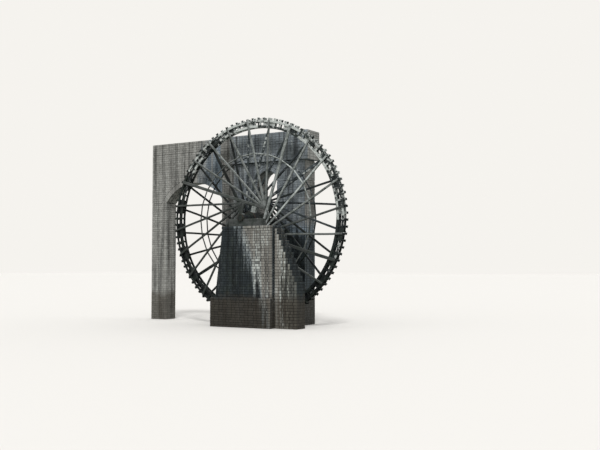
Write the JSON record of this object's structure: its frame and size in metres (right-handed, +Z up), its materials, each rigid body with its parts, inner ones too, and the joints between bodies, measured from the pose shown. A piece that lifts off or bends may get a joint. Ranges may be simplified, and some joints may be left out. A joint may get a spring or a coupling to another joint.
{
  "type": "water wheel",
  "caption": "Large undershot timber water wheel with fan spokes and side-emptying water boxes, between a stepped stone pier and the head tower of an aqueduct.",
  "frame": {"origin": "on the river bed under the axle, in the middle of the tower's thickness", "axes": "+X across the river face to the right as seen from the pier, +Y along the axle from the pier to the tower, +Z up"},
  "size_m": [22.1088, 6.9, 17.9088],
  "materials": {
    "dry_stone": "rough",
    "wet_stone": "damp",
    "pale_timber": "weathered",
    "wet_timber": "wet",
    "iron": "rusted"
  },
  "bodies": {
    "masonry": {"front_pier": "wet_stone", "front_pier_cap": "dry_stone", "front_pier_foot": "wet_stone", "stepped_buttress": "dry_stone", "front_bearing_sill": "pale_timber", "front_bearing_block": "pale_timber", "tower_base": "wet_stone", "tower_left_jamb": "wet_stone", "tower_right_jamb": "dry_stone", "window_arch": "dry_stone", "tower_head": "wet_stone", "channel_block": "wet_stone", "channel_front_wall": "wet_stone", "channel_back_wall": "wet_stone", "channel_end_wall": "wet_stone", "back_bearing_sill": "pale_timber", "back_bearing_block": "pale_timber", "aqueduct_end_pier": "dry_stone", "aqueduct_arch": "dry_stone", "aqueduct_wall": "dry_stone", "aqueduct_channel_walls": "dry_stone"},
    "wheel": {"axle": "wet_timber", "axle_necks": "wet_timber", "axle_bands": "iron", "hub_chocks": "pale_timber", "clasp_arms_front": "pale_timber", "clasp_arms_back": "wet_timber", "spokes_front": "pale_timber", "spokes_back": "wet_timber", "struts_front": "pale_timber", "struts_back": "wet_timber", "outer_ring_front": "wet_timber", "outer_ring_back": "wet_timber", "inner_ring_front": "wet_timber", "inner_ring_back": "wet_timber", "rim_ties_front": "wet_timber", "rim_ties_back": "wet_timber", "paddles": "wet_timber", "box_sides": "wet_timber", "box_soles": "wet_timber", "box_covers": "wet_timber", "box_fronts": "wet_timber"}
  },
  "joints": [
    {"name": "wheel_turn", "type": "hinge", "parent": "masonry", "child": "wheel", "pos_m": [0, -2.59, 9.1], "axis": [0, 1, 0], "continuous": true}
  ]
}
